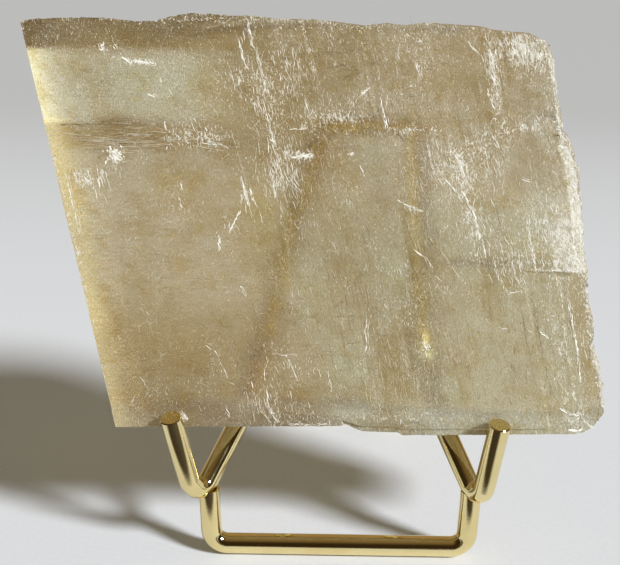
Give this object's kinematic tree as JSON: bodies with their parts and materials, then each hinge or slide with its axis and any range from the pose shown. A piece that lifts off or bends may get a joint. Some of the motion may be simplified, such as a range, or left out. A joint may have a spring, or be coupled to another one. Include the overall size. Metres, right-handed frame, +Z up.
{
  "type": "raw calcite slab on a display stand",
  "caption": "Honey-coloured raw calcite cleavage slab with ragged top and right edges, leaning on a bent brass rod stand with V hooks, a backrest arch and a rear leg.",
  "frame": {"origin": "on the surface the stand rests on, below the middle of the object's bounding box", "axes": "+Z up, +X to the right along the stone's bottom edge as seen from the front, +Y from the front towards the rear leg"},
  "size_m": [0.1364, 0.0908, 0.1276],
  "materials": {
    "calcite": "clear honey cleavage faces, frosted and chipped along the broken edges",
    "brass": "polished, gold-coloured"
  },
  "bodies": {
    "root": {"calcite_slab": "calcite", "cradle_rod": "brass", "front_base_bar": "brass", "rear_leg": "brass"}
  },
  "joints": []
}
